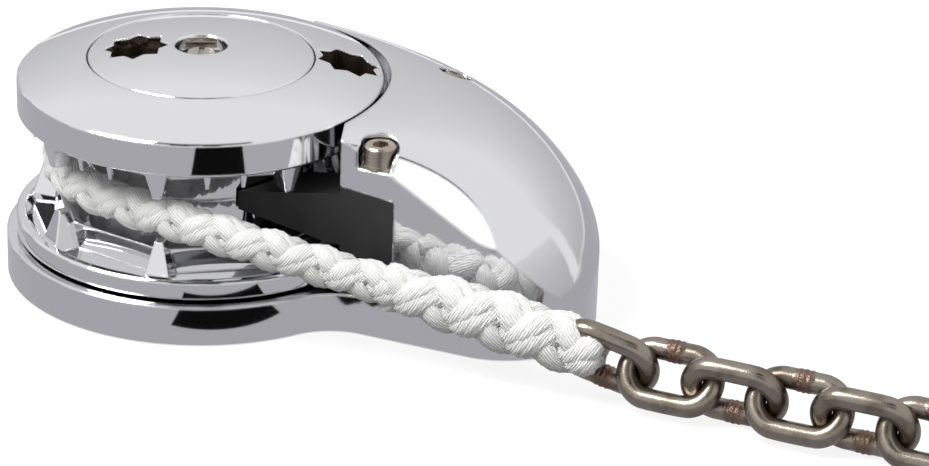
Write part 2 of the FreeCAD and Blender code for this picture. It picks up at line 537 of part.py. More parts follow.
def shaft_parts():
    """The main shaft and what turns with it."""
    shaft = turned_body("main_shaft", [
        ("0", "shaft_foot_z"), ("journal_radius", "shaft_foot_z"),
        ("journal_radius", "circlip_z - face_gap"),
        ("journal_radius - circlip_groove", "circlip_z - face_gap"),
        ("journal_radius - circlip_groove", "circlip_z + circlip_thickness + face_gap"),
        ("journal_radius", "circlip_z + circlip_thickness + face_gap"),
        ("journal_radius", "collar_foot_z"), ("collar_radius", "collar_foot_z"),
        ("collar_radius", "cone_foot_z"), ("shaft_radius", "cone_foot_z"),
        ("shaft_radius", "shaft_shoulder_z"), ("thread_radius", "shaft_shoulder_z + 1"),
        ("thread_radius", "shaft_top_z - 1"), ("thread_radius - 1", "shaft_top_z"), ("0", "shaft_top_z")])
    cut_round_hole(shaft, "drive_socket", "socket_radius", "0", "socket_depth")
    cut_round_hole(shaft, "centre_thread", "centre_shank_radius", "shaft_top_z - centre_shank_length",
                   "centre_shank_length + 1")
    keyway = shaft.newObject("PartDesign::SubtractiveBox", "drive_keyway")
    bind(keyway, Length="socket_radius + keyway_depth", Width="keyway_width", Height="socket_depth")
    keyway.setExpression("Placement.Base.y", in_sheet("-keyway_width / 2"))
    for name, foot in (("lower", "cone_foot_z + cone_height / 2 - key_height / 2"),
                       ("upper", "upper_cone_foot_z + cone_height / 2 - key_height / 2")):
        seat = shaft.newObject("PartDesign::SubtractiveBox", name + "_key_seat")
        bind(seat, Length="key_width", Width="2 * key_stand", Height="key_height")
        seat.setExpression("Placement.Base.x", in_sheet("-key_width / 2"))
        seat.setExpression("Placement.Base.y", in_sheet("shaft_radius - key_stand"))
        seat.setExpression("Placement.Base.z", in_sheet(foot))
        doc.recompute()
        key = doc.addObject("Part::Box", name + "_key_blank")
        bind(key, Length="key_width", Width="2 * key_stand", Height="key_height")
        key.setExpression("Placement.Base.x", in_sheet("-key_width / 2"))
        key.setExpression("Placement.Base.y", in_sheet("shaft_radius - key_stand"))
        key.setExpression("Placement.Base.z", in_sheet(foot))
        keep(key, name + "_clutch_key")
    lower = turned_body("lower_clutch_cone", [
        ("shaft_radius + running_gap", "cone_foot_z"), ("cone_big_radius", "cone_foot_z"),
        ("cone_small_radius", "cone_top_z"), ("shaft_radius + running_gap", "cone_top_z")])
    upper = turned_body("upper_clutch_cone", [
        ("shaft_radius + running_gap", "upper_cone_foot_z"), ("cone_small_radius", "upper_cone_foot_z"),
        ("cone_big_radius", "upper_cone_top_z"), ("shaft_radius + running_gap", "upper_cone_top_z")])
    for body in (lower, upper):
        slot = body.newObject("PartDesign::SubtractiveBox", body.Label + "_keyway")
        bind(slot, Length="key_width + 2 * face_gap", Width="shaft_radius + key_stand + face_gap",
             Height="cap_inner_z")
        slot.setExpression("Placement.Base.x", in_sheet("-key_width / 2 - face_gap"))
        doc.recompute()
    circlip = turned_body("shaft_circlip", [
        ("journal_radius - circlip_groove", "circlip_z"), ("circlip_radius", "circlip_z"),
        ("circlip_radius", "circlip_z + circlip_thickness"),
        ("journal_radius - circlip_groove", "circlip_z + circlip_thickness")])
    mouth = circlip.newObject("PartDesign::SubtractiveBox", "circlip_mouth_cut")
    bind(mouth, Length="2 * circlip_radius", Width="circlip_mouth", Height="circlip_pocket_depth")
    mouth.setExpression("Placement.Base.y", in_sheet("-circlip_mouth / 2"))
    doc.recompute()
    screw = turned_body("centre_screw", [
        ("0", "shaft_top_z - centre_shank_length"), ("centre_shank_radius", "shaft_top_z - centre_shank_length"),
        ("centre_shank_radius", "shaft_top_z"), ("centre_head_radius", "shaft_top_z"),
        ("centre_head_radius", "shaft_top_z + centre_head_height / 2"),
        ("centre_head_radius - centre_head_height / 3", "shaft_top_z + centre_head_height"),
        ("0", "shaft_top_z + centre_head_height")])
    slot = screw.newObject("PartDesign::SubtractiveBox", "centre_slot")
    bind(slot, Length="4 * centre_head_radius", Width="slot_width", Height="2 * slot_depth")
    turn = FreeCAD.Rotation(point(0, 0, 1), 112)
    slot.Placement = FreeCAD.Placement(
        turn.multVec(point(-2 * size["centre_head_radius"], -size["slot_width"] / 2, 0))
        + point(0, 0, size["shaft_top_z"] + size["centre_head_height"] - size["slot_depth"]), turn)
    doc.recompute()


def wheel_half(label, corners, seat_foot, tooth_sizes, flipped):
    """One half of the wheel, with its ring of link seats and its tapered teeth."""
    half = turned_body(label, corners)
    turn = size["wheel_phase"]
    seats = new_sketch(half, label + "_seats", "XY_Plane", seat_foot)
    count = int(size["pocket_count"])
    step = whole_turn / count
    reach = "seat_apothem / %.8f" % math.cos(math.radians(step / 2))
    closed_profile(seats, [("%s * %.8f" % (reach, math.cos(math.radians(turn + step * number))),
                            "%s * %.8f" % (reach, math.sin(math.radians(turn + step * number))))
                           for number in range(count)])
    core = seats.addGeometry(Part.Circle(point(0, 0), point(0, 0, 1), size["waist_radius"] - 1))
    seats.addConstraint(Sketcher.Constraint("Coincident", core, 3, -1, 1))
    number = seats.addConstraint(Sketcher.Constraint("Radius", core, size["waist_radius"] - 1))
    seats.setExpression("Constraints[%d]" % number, in_sheet("waist_radius - 1"))
    pad = half.newObject("PartDesign::Pad", label + "_seat_ring")
    pad.Profile = seats
    pad.setExpression("Length", in_sheet("seat_height + pocket_depth"))
    doc.recompute()
    tooth = tapered_tooth(half, label + "_tooth", tooth_sizes, turn, flipped)
    doc.recompute()
    repeat_round(half, tooth, "pocket_count")
    return half


def wheel_parts():
    """The rope and chain wheel, made as two halves that are screwed together."""
    lower = wheel_half("lower_wheel", [
        ("cone_big_radius + cone_gap", "wheel_foot_z"),
        ("wheel_radius - rim_edge", "wheel_foot_z"), ("wheel_radius", "wheel_foot_z + rim_edge"),
        ("wheel_radius", "groove_low_z - rim_edge"), ("wheel_radius - rim_edge", "groove_low_z"),
        ("wheel_radius - rim_width", "groove_low_z"),
        ("wheel_radius - rim_width - rim_slope", "pocket_floor_z"), ("seat_root_radius", "pocket_floor_z"),
        ("seat_root_radius", "seat_top_z"), ("waist_radius", "wheel_mid_z - face_gap"),
        ("shaft_radius + wheel_bush_wall + running_gap", "wheel_mid_z - face_gap"),
        ("shaft_radius + wheel_bush_wall + running_gap", "cone_top_z + 2 * cone_gap"),
        ("cone_small_radius + cone_gap", "cone_top_z + 2 * cone_gap"),
        ("cone_small_radius + cone_gap", "cone_top_z"),
        ("cone_big_radius + cone_gap", "cone_foot_z")], "pocket_floor_z", {
            "Xmin": "-fin_width / 2", "Xmax": "fin_width / 2", "X2min": "-fin_tip_width / 2",
            "X2max": "fin_tip_width / 2", "Ymin": "pocket_floor_z", "Ymax": "groove_low_z + fin_height",
            "Zmin": "fin_inner_radius", "Zmax": "fin_foot_radius", "Z2min": "fin_inner_tip",
            "Z2max": "fin_tip_radius"}, False)
    upper = wheel_half("cap_wheel", [
        ("shaft_radius + wheel_bush_wall + running_gap", "wheel_mid_z"), ("waist_radius", "wheel_mid_z"),
        ("seat_root_radius", "seat_bottom_z"), ("seat_root_radius", "pocket_roof_z"),
        ("wheel_radius - rim_width - rim_slope", "pocket_roof_z"),
        ("wheel_radius - rim_width", "groove_high_z"), ("cap_radius - rim_edge", "groove_high_z"),
        ("cap_radius", "groove_high_z + rim_edge"), ("cap_radius", "cap_edge_z - rim_edge"),
        ("cap_radius - rim_edge", "cap_edge_z", "cap_crown"), ("nut_radius + nut_gap + 0.5", "cap_inner_z"),
        ("nut_radius + nut_gap", "cap_inner_z - 0.5"), ("nut_radius + nut_gap", "nut_floor_z"),
        ("cone_big_radius + cone_gap", "nut_floor_z"),
        ("cone_big_radius + cone_gap", "upper_cone_top_z"),
        ("cone_small_radius + cone_gap", "upper_cone_foot_z"),
        ("cone_small_radius + cone_gap", "upper_cone_foot_z - 2 * cone_gap"),
        ("shaft_radius + wheel_bush_wall + running_gap", "upper_cone_foot_z - 2 * cone_gap")],
        "seat_bottom_z", {
            "Xmin": "-fin_width / 2", "Xmax": "fin_width / 2", "X2min": "-fin_tip_width / 2",
            "X2max": "fin_tip_width / 2", "Ymin": "-pocket_roof_z", "Ymax": "fin_height - groove_high_z",
            "Zmin": "fin_inner_radius", "Zmax": "fin_foot_radius", "Z2min": "fin_inner_tip",
            "Z2max": "fin_tip_radius + 2"}, True)
    step = whole_turn / size["pocket_count"]
    for number, side in enumerate((-1, 1), start=1):
        spike = tapered_tooth(upper, "grip_spike_%d" % number, {
            "Xmin": "-spike_size / 2", "Xmax": "spike_size / 2", "X2min": "-spike_tip / 2",
            "X2max": "spike_tip / 2", "Ymin": "-pocket_roof_z", "Ymax": "spike_height - groove_high_z",
            "Zmin": "spike_radius - spike_size / 2", "Zmax": "spike_radius + spike_size / 2",
            "Z2min": "spike_radius - spike_tip / 2", "Z2max": "spike_radius + spike_tip / 2"},
            size["wheel_phase"] + step / 2 + side * size["spike_angle"], True)
        doc.recompute()
        repeat_round(upper, spike, "pocket_count")
    turn = math.radians(size["cap_star_angle"])
    place = point(math.cos(turn), math.sin(turn)) * size["cap_star_radius"]
    cut_star(upper, "cap_star", place, 0, size["cap_inner_z"] - size["star_depth"] - 4)
    doc.recompute()
    ring("wheel_bush", "shaft_radius + running_gap", "shaft_radius + wheel_bush_wall",
         "upper_cone_foot_z - cone_top_z - 4 * cone_gap", ("0", "0"), "cone_top_z + 2 * cone_gap")
    step = whole_turn / size["wheel_screw_count"]
    screws = []
    for number in range(int(size["wheel_screw_count"])):
        angle = math.radians(step * (number + 0.5))
        x, y = size["wheel_screw_circle"] * math.cos(angle), size["wheel_screw_circle"] * math.sin(angle)
        head_z = size["wheel_foot_z"] + size["rim_edge"] + size["wheel_screw_head_height"]
        head = round_post(size["wheel_screw_head_radius"], size["wheel_foot_z"] + size["rim_edge"], head_z, x, y)
        screws.append(head.fuse(round_post(size["wheel_screw_radius"], head_z, size["wheel_screw_top_z"], x, y)))
        for body, name in ((lower, "lower"), (upper, "upper")):
            hole = body.newObject("PartDesign::SubtractiveCylinder", "%s_screw_hole_%d" % (name, number + 1))
            bind(hole, Radius="wheel_screw_radius", Height="wheel_screw_top_z")
            hole.Placement.Base = point(x, y, 0)
            doc.recompute()
        sink = lower.newObject("PartDesign::SubtractiveCylinder", "lower_screw_sink_%d" % (number + 1))
        bind(sink, Radius="wheel_screw_head_radius + face_gap", Height="wheel_screw_head_height + rim_edge + 1")
        sink.Placement.Base = point(x, y, size["wheel_foot_z"] - 1)
        doc.recompute()
    keep(plain(Part.makeCompound(screws), "wheel_screw_set"), "wheel_screws")


def clutch_parts():
    """The disc springs, washer and domed nut that press the clutch cones together."""
    springs = []
    inner, outer = size["shaft_radius"] + 2 * size["face_gap"], size["washer_radius"]
    for number in range(2):
        low = size["upper_cone_top_z"] + number * size["spring_height"]
        springs.append(round_post(outer, low, low + size["spring_height"] - size["face_gap"]).cut(
            round_post(inner, low - 1, low + size["spring_height"] + 1)))
    keep(plain(Part.makeCompound(springs), "disc_spring_set"), "disc_springs")
    ring("clutch_washer", "shaft_radius + 2 * face_gap", "washer_radius", "washer_height - face_gap",
         ("0", "0"), "washer_foot_z")
    nut = turned_body("clutch_nut", [
        ("thread_radius + running_gap", "nut_foot_z"), ("nut_hub_radius", "nut_foot_z"),
        ("nut_hub_radius", "nut_floor_z + cone_gap"), ("nut_radius", "nut_floor_z + cone_gap"),
        ("nut_radius", "cap_inner_z - 0.5"), ("nut_radius - 0.5", "cap_inner_z", "nut_crown"),
        ("dish_radius + 0.6", "nut_crown_z"), ("dish_radius", "nut_crown_z - 0.6"),
        ("dish_radius", "shaft_top_z"), ("thread_radius + running_gap", "shaft_top_z")])
    cut_star(nut, "nut_star", point(size["nut_star_x"], size["nut_star_y"]), 22, size["nut_star_floor_z"])
    doc.recompute()


def cord_tube(corners, radius):
    """Straight runs joined by arcs as large as the runs allow: the tube, its length and the arcs' radii."""
    places = [point(*corner) for corner in corners]
    pieces, radii, length = [], [], 0
    leave = places[0]
    for before, corner, after in zip(places, places[1:], places[2:]):
        into, out = (corner - before).normalize(), (after - corner).normalize()
        turn = into.getAngle(out)
        reach = 0.45 * min((corner - before).Length, (after - corner).Length)
        radii.append(reach / math.tan(turn / 2))
        first = corner - into * reach
        centre = corner + (out - into).normalize() * (radii[-1] / math.cos(turn / 2))
        pieces.append(Part.makeCylinder(radius, (first - leave).Length, leave, into))
        section = Part.Face(Part.Wire(Part.makeCircle(radius, first, into)))
        pieces.append(section.revolve(centre, into.cross(out), math.degrees(turn)))
        length += (first - leave).Length + radii[-1] * turn
        leave = corner + out * reach
    pieces.append(Part.makeCylinder(radius, (places[-1] - leave).Length, leave, places[-1] - leave))
    length += (places[-1] - leave).Length
    return pieces[0].fuse(pieces[1:]), length, radii


def rope_route():
    """Up the chain pipe, round the back of the wheel and away towards the bow."""
    pipe_x, pipe_y, middle = size["pipe_x"], size["pipe_y"], size["wheel_mid_z"]
    corners = [(pipe_x, pipe_y, 1.5), (pipe_x, pipe_y, 16), (pipe_x - 5, pipe_y + 1.2, 31),
               (pipe_x - 16, pipe_y + 3.8, middle - 3), (pipe_x - 32, pipe_y + 7.4, middle)]
    around = [(-10.6, 49.8), (-17.5, 90.6), (-17.7, 118.2), (-15.84, 145.8), (-15.84, 173.4), (-15.84, 201),
              (-15.84, 228.6), (-15.84, 256.2), (-0.75, 301.2)]
    for beyond, degrees in around:
        radius = size["wheel_radius"] + beyond
        angle = math.radians(degrees)
        corners.append((radius * math.cos(angle), radius * math.sin(angle), middle))
    leave_x, leave_y, leave_z = corners.pop()
    corners.append((leave_x, leave_y, leave_z - 1))
    wall_y = size["front_wall_y"]
    corners += [(leave_x + 52.5, wall_y - 14.5, 30.2), (leave_x + 102.5, wall_y - 10.8, 24),
                (size["chain_first_x"] - 0.6, size["chain_y"] - 1, 16.3)]
    return corners


def rode_parts():
    """The rope, its splice and the length of chain that lies on the deck."""
    route = rope_route()
    rope, length, radii = cord_tube(route, size["rope_diameter"] / 2)
    print("rope route", [tuple(round(value, 1) for value in corner) for corner in route])
    print("rope path", round(length, 1), "radii", [round(radius, 1) for radius in radii])
    expected = math.pi * size["rope_diameter"] ** 2 / 4 * length
    print("rope volume over section times length", round(rope.Volume / expected, 4))
    keep(plain(rope, "rope_tube"), "rode_rope")
    before, bend_point, last = (point(*corner) for corner in route[-3:])
    splice_start = before + (bend_point - before) * 0.2
    splice_end = last + (last - bend_point).normalize() * 2
    axis = splice_end - splice_start
    swell = [(0.55, 0), (0.6, 0.26), (0.68, 0.57), (0.71, 0.79), (0.63, 0.93), (0.52, 1)]
    outer = [point(size["rope_diameter"] * wide, 0, axis.Length * along) for wide, along in swell]
    profile = Part.BSplineCurve()
    profile.interpolate(outer)
    foot, top = point(0, 0, 0), point(0, 0, axis.Length)
    outline = Part.Wire([Part.LineSegment(foot, outer[0]).toShape(), profile.toShape(),
                         Part.LineSegment(outer[-1], top).toShape(), Part.LineSegment(top, foot).toShape()])
    splice = Part.Face(outline).revolve(foot, point(0, 0, 1), whole_turn)
    splice.Placement = FreeCAD.Placement(splice_start, FreeCAD.Rotation(point(0, 0, 1), axis))
    keep(plain(splice, "splice_form"), "rope_splice")
    wire = size["chain_wire"] / 2
    bend = size["chain_inner_width"] / 2 + wire
    straight = (size["chain_pitch"] - size["chain_slack"]) / 2 + wire - bend
    bars = [Part.makeCylinder(wire, 2 * straight, point(-straight, side * bend), point(1, 0, 0))
            for side in (-1, 1)]
    bows = []
    for side in (-1, 1):
        section = Part.Face(Part.Wire(Part.makeCircle(wire, point(side * straight, -bend), point(1, 0, 0))))
        bows.append(section.revolve(point(side * straight, 0), point(0, 0, side), whole_turn / 2))
    one_link = bars[0].fuse(bars[1:] + bows)
    axis_z = bend * math.sin(math.radians(size["chain_roll"])) + wire + size["chain_lift"]
    for number in range(int(size["chain_count"])):
        side = 1 if number % 2 else -1
        item = plain(one_link.copy(), "chain_link_form_%d" % (number + 1))
        item.Placement = FreeCAD.Placement(
            point(size["chain_first_x"] + number * size["chain_pitch"], size["chain_y"], axis_z),
            FreeCAD.Rotation(point(1, 0, 0), side * size["chain_roll"]))
        keep(item, "chain_link_%d" % (number + 1))


housing_feature()
deck_parts()
stripper_feature()
hood_fasteners()
pressure_arm()
shaft_parts()
wheel_parts()
clutch_parts()
rode_parts()
doc.recompute()

for item in doc.Objects:
    if "Invalid" in item.State or "Error" in item.State:
        raise RuntimeError(item.Name + " didn't build: " + str(item.State))
for item in finished:
    if item.Shape.isNull() or not item.Shape.isValid():
        raise RuntimeError(item.Label + " has no valid shape")
for item in finished:
    item.Shape.exportStep("parts/" + item.Label + ".step")
    print("%-18s solids %d  volume %.0f mm3" % (item.Label, len(item.Shape.Solids), item.Shape.Volume))
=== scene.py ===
import bpy
import json
import math
from mathutils import Matrix, Vector


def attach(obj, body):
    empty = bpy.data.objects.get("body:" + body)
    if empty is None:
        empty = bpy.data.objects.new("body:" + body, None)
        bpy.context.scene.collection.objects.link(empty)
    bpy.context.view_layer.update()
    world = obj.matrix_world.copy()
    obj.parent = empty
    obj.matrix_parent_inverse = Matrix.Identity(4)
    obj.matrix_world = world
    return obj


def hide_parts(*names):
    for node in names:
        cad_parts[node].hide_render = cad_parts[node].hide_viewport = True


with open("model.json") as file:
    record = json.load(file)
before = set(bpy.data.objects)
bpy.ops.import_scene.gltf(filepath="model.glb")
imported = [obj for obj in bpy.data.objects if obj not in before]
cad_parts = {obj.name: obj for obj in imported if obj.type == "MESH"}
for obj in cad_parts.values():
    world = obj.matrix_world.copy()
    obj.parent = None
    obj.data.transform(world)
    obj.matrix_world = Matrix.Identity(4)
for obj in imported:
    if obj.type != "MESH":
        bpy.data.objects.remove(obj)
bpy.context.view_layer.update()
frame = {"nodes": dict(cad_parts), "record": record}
scene = bpy.context.scene
print("anchor windlass: frame loaded")


def mm(*values):
    # a place given in millimetres, as metres
    return Vector(values) / 1000


# Camera fitted to the photograph: metres, degrees, and the focal length in pixels
cameraSet = {
    "place": (0.5751, -1.1516, 0.5995), "azimuth": 22.08, "elevation": 24.47, "roll": 1.87,
    "focalPixels": 3714, "imageWidth": 929, "sensor": 36, "farClip": 20,
}


def placeCamera():
    turn, lift, roll = (math.radians(cameraSet[name]) for name in ("azimuth", "elevation", "roll"))
    back = Vector((math.sin(turn) * math.cos(lift), -math.cos(turn) * math.cos(lift), math.sin(lift)))
    right = Vector((math.cos(turn), math.sin(turn), 0))
    up = back.cross(right)
    sideways = right * math.cos(roll) + up * math.sin(roll)
    upwards = up * math.cos(roll) - right * math.sin(roll)
    bpy.ops.object.select_all(action="DESELECT")
    bpy.ops.object.camera_add()
    camera = bpy.context.object
    camera.name = "studioCamera"
    camera.data.lens = cameraSet["focalPixels"] / cameraSet["imageWidth"] * cameraSet["sensor"]
    camera.data.sensor_width = cameraSet["sensor"]
    axes = Matrix((sideways, upwards, back)).transposed().to_4x4()
    camera.matrix_world = Matrix.Translation(cameraSet["place"]) @ axes
    camera.data.clip_end = cameraSet["farClip"]
    scene.camera = camera


placeCamera()
print("camera set")


def newMaterial(name, base, roughness, metallic=0.0):
    material = bpy.data.materials.new(name)
    material.use_nodes = True
    shader = material.node_tree.nodes["Principled BSDF"]
    shader.inputs["Base Color"].default_value = (*base, 1)
    shader.inputs["Roughness"].default_value = roughness
    shader.inputs["Metallic"].default_value = metallic
    return material, material.node_tree.nodes, material.node_tree.links, shader


def newGroup(name, inputs, outputs):
    group = bpy.data.node_groups.new(name, "ShaderNodeTree")
    for label, value in inputs.items():
        kind = "NodeSocketFloat" if isinstance(value, float) else "NodeSocketColor"
        socket = group.interface.new_socket(name=label, in_out="INPUT", socket_type=kind)
        socket.default_value = value
    for label, kind in outputs.items():
        group.interface.new_socket(name=label, in_out="OUTPUT", socket_type="NodeSocket" + kind)
    into = group.nodes.new("NodeGroupInput")
    out = group.nodes.new("NodeGroupOutput")
    return group, group.nodes, group.links, into, out


def mathStep(nodes, links, operation, *values):
    # one Math node, each value a socket or a number
    step = nodes.new("ShaderNodeMath")
    step.operation = operation
    for slot, value in enumerate(values):
        if isinstance(value, (int, float)):
            step.inputs[slot].default_value = value
        else:
            links.new(value, step.inputs[slot])
    return step.outputs[0]


def shareBetween(nodes, links, value, low, high):
    # nought at low, one at high, and held there past the ends
    step = nodes.new("ShaderNodeMapRange")
    step.inputs["From Min"].default_value = low
    step.inputs["From Max"].default_value = high
    links.new(value, step.inputs["Value"])
    return step.outputs["Result"]


def mixColours(nodes, links, factor, first, second):
    # the first at nought, the second at one, each a socket or a colour
    mix = nodes.new("ShaderNodeMix")
    mix.data_type = "RGBA"
    firstSlot, secondSlot, resultSlot = 6, 7, 2  # where a Mix node keeps its colours
    links.new(factor, mix.inputs["Factor"])
    for slot, value in ((firstSlot, first), (secondSlot, second)):
        if isinstance(value, tuple):
            mix.inputs[slot].default_value = (*value, 1)
        else:
            links.new(value, mix.inputs[slot])
    return mix.outputs[resultSlot]


def cloudNoise(nodes, links, scale, detail):
    # noise that stays on the piece, its scale a socket or a number
    place = nodes.new("ShaderNodeTexCoord")
    noise = nodes.new("ShaderNodeTexNoise")
    noise.inputs["Detail"].default_value = detail
    links.new(place.outputs["Object"], noise.inputs["Vector"])
    if isinstance(scale, (int, float)):
        noise.inputs["Scale"].default_value = scale
    else:
        links.new(scale, noise.inputs["Scale"])
    return noise.outputs["Fac"]


def addRelief(nodes, links, height, depth, strength=1.0):
    relief = nodes.new("ShaderNodeBump")
    relief.inputs["Strength"].default_value = strength
    relief.inputs["Distance"].default_value = depth
    links.new(height, relief.inputs["Height"])
    links.new(relief.outputs["Normal"], nodes["Principled BSDF"].inputs["Normal"])


# Cloudy tint, uneven polish and small stains of a hard surface
hazeLook = {"cloudDetail": 4, "grainDetail": 2, "stainFrom": 0.45, "stainFull": 0.72}


def makeHaze():
    inputs = {"Colour": (0.8, 0.8, 0.8, 1), "Stain": (0.4, 0.35, 0.3, 1), "Stain amount": 0.0,
              "Roughness": 0.05, "Haze": 0.03, "Scale": 30.0, "Grain": 900.0}
    outputs = {"Colour": "Color", "Roughness": "Float", "Height": "Float"}
    group, nodes, links, into, out = newGroup("metalHaze", inputs, outputs)
    cloud = cloudNoise(nodes, links, into.outputs["Scale"], hazeLook["cloudDetail"])
    grain = cloudNoise(nodes, links, into.outputs["Grain"], hazeLook["grainDetail"])
    uneven = mathStep(nodes, links, "MULTIPLY_ADD", cloud, into.outputs["Haze"], into.outputs["Roughness"])
    patch = shareBetween(nodes, links, cloud, hazeLook["stainFrom"], hazeLook["stainFull"])
    amount = mathStep(nodes, links, "MULTIPLY", patch, into.outputs["Stain amount"])
    tint = mixColours(nodes, links, amount, into.outputs["Colour"], into.outputs["Stain"])
    links.new(tint, out.inputs["Colour"])
    links.new(uneven, out.inputs["Roughness"])
    links.new(grain, out.inputs["Height"])
    return group


hazeGroup = makeHaze()


def softEdges(material, reach, samples=6):
    # slightly rounded edges on a hard shape, the reach in metres
    nodes, links = material.node_tree.nodes, material.node_tree.links
    edge = nodes.new("ShaderNodeBevel")
    edge.samples = samples
    edge.inputs["Radius"].default_value = reach
    links.new(edge.outputs["Normal"], nodes["Principled BSDF"].inputs["Normal"])
    return material


def metal(name, colour, roughness, haze=0.02, stain=None, stainAmount=0.0, scale=30.0, grain=900.0,
          bump=0.0, metallic=1.0):
    material, nodes, links, shader = newMaterial(name, colour, roughness, metallic)
    effect = nodes.new("ShaderNodeGroup")
    effect.node_tree = hazeGroup
    effect.inputs["Colour"].default_value = (*colour, 1)
    effect.inputs["Stain"].default_value = (*(stain or colour), 1)
    for label, value in (("Stain amount", stainAmount), ("Roughness", roughness), ("Haze", haze),
                         ("Scale", scale), ("Grain", grain)):
        effect.inputs[label].default_value = value
    links.new(effect.outputs["Colour"], shader.inputs["Base Color"])
    links.new(effect.outputs["Roughness"], shader.inputs["Roughness"])
    if bump:
        addRelief(nodes, links, effect.outputs["Height"], bump)
    return material


# Handle sockets in the nut and in the cap's ring: dull and unpolished inside, with painted shade, a dark
# brown, in their hollows, in metres
shadedSockets = {
    # painted shade: this colour darkens the sockets' hollows
    "colour": (0.10, 0.075, 0.055), "roughness": 0.45,
    "nutFloor": 0.0840, "nutReach": 0.039,  # below the nut's dome and within its rim
    "ringCentre": (0.04861, 0.02530), "ringReach": 0.0128,
    "ringSlope": 0.266, "ringRise": 0.0955,  # the ring's top falls outwards from this height
    "floorBlur": 0.0006, "wallBlur": 0.0001,
}


def socketShadeMask(nodes, links):
    # one inside the sockets, where the shade is painted and the polish dulled, nought on the polished
    # outside
    place = nodes.new("ShaderNodeTexCoord")
    split = nodes.new("ShaderNodeSeparateXYZ")
    links.new(place.outputs["Object"], split.inputs[0])
    flat = nodes.new("ShaderNodeVectorMath")
    flat.operation = "MULTIPLY"
    flat.inputs[1].default_value = (1, 1, 0)
    links.new(place.outputs["Object"], flat.inputs[0])

    def lengthTo(centre):
        gap = nodes.new("ShaderNodeVectorMath")
        gap.operation = "DISTANCE"
        links.new(flat.outputs[0], gap.inputs[0])
        gap.inputs[1].default_value = (*centre, 0)
        return gap.outputs["Value"]

    def below(value, limit, blur):
        return shareBetween(nodes, links, value, limit, limit - blur)

    radius = lengthTo((0, 0))
    inNut = mathStep(nodes, links, "MULTIPLY",
                     below(split.outputs["Z"], shadedSockets["nutFloor"], shadedSockets["floorBlur"]),
                     below(radius, shadedSockets["nutReach"], shadedSockets["wallBlur"]))
    depth = mathStep(nodes, links, "MULTIPLY_ADD", radius, shadedSockets["ringSlope"], split.outputs["Z"])
    inRing = mathStep(nodes, links, "MULTIPLY",
                      below(depth, shadedSockets["ringRise"], shadedSockets["floorBlur"]),
                      below(lengthTo(shadedSockets["ringCentre"]), shadedSockets["ringReach"], shadedSockets["wallBlur"]))
    return mathStep(nodes, links, "MAXIMUM", inNut, inRing)


def shadedSocketMetal(name, colour, roughness, haze):
    material = metal(name, colour, roughness, haze)
    nodes, links = material.node_tree.nodes, material.node_tree.links
    shader = nodes["Principled BSDF"]
    polish = {label: shader.inputs[label].links[0].from_socket for label in ("Base Color", "Roughness")}
    inside = socketShadeMask(nodes, links)
    # painted shade: the sockets' hollows darkened to a dark brown; the added roughness is the real dull
    # finish
    tint = mixColours(nodes, links, inside, polish["Base Color"], shadedSockets["colour"])
    dull = mathStep(nodes, links, "MULTIPLY_ADD", inside, shadedSockets["roughness"], polish["Roughness"])
    links.new(tint, shader.inputs["Base Color"])
    links.new(dull, shader.inputs["Roughness"])
    return material


# One finish for each of the frame's material slots that the pieces below don't replace
finishes = {
    "chromed_casting": softEdges(metal("chromedCasting", (0.71, 0.71, 0.725), 0.055, haze=0.04), 0.0018),
    "chromed_wheel": softEdges(shadedSocketMetal("chromedWheel", (0.73, 0.73, 0.745), 0.03, haze=0.03), 0.0012),
    "screw_steel": metal("nickelScrew", (0.50, 0.45, 0.38), 0.22, haze=0.12, stain=(0.30, 0.25, 0.19),
                         stainAmount=0.5, scale=160, grain=2500, bump=0.00003),
    "shaft_steel": metal("groundSteel", (0.50, 0.50, 0.51), 0.25, haze=0.1, grain=2000, bump=0.00002),
    "spring_steel": metal("oiledSteel", (0.30, 0.30, 0.32), 0.3, haze=0.1),
    "cone_bronze": metal("turnedBronze", (0.55, 0.38, 0.18), 0.3, haze=0.1),
    "bearing_bronze": metal("bearingBronze", (0.52, 0.36, 0.17), 0.35, haze=0.1),
    "bearing_plastic": metal("bearingPlastic", (0.75, 0.73, 0.66), 0.5, haze=0.1, metallic=0.0),
    "pipe_plastic": metal("pipePlastic", (0.02, 0.02, 0.022), 0.5, haze=0.1, metallic=0.0),
    "stripper_plastic": metal("stripperPlastic", (0.014, 0.014, 0.015), 0.52, haze=0.12,
                              stain=(0.03, 0.03, 0.031), stainAmount=0.6, scale=60, grain=1800,
                              bump=0.00006, metallic=0.0),
    "gasket_rubber": metal("gasketRubber", (0.015, 0.015, 0.015), 0.7, haze=0.1, metallic=0.0),
    "seal_rubber": metal("sealRubber", (0.015, 0.015, 0.015), 0.6, haze=0.1, metallic=0.0),
}
slotOfNode = {row["node"]: row["material_slot"] for row in frame["record"]["subparts"]}
finished = [node for node in frame["nodes"] if slotOfNode.get(node) in finishes]
for node in finished:
    materials = frame["nodes"][node].data.materials
    materials.clear()
    materials.append(finishes[slotOfNode[node]])
print("finishes on", len(finished), "nodes")


# Glossy yarn: fine slanting lines on every strand, darker in the gaps, on a UV map in millimetres
yarnLook = {
    "roughness": 0.42, "sheen": 0.1, "scatter": 0.08, "scatterDepth": 0.002, "slant": 28,
    "lineScale": 0.42, "lineWander": 1.6, "wanderDetail": 2, "wanderScale": 0.4, "lineHeight": 0.7,
    "hairScale": 1.0, "hairStretch": (5.0, 0.35, 1), "relief": 0.0005, "reliefStrength": 0.8,
    "litFrom": 0.8,  # height past which the strand has its full colour
}


def slantedMap(nodes, links, scale):
    uv = nodes.new("ShaderNodeUVMap")
    uv.uv_map = "UVMap"
    turn = nodes.new("ShaderNodeMapping")
    turn.inputs["Rotation"].default_value = (0, 0, math.radians(yarnLook["slant"]))
    turn.inputs["Scale"].default_value = scale
    links.new(uv.outputs["UV"], turn.inputs["Vector"])
    return turn.outputs["Vector"]


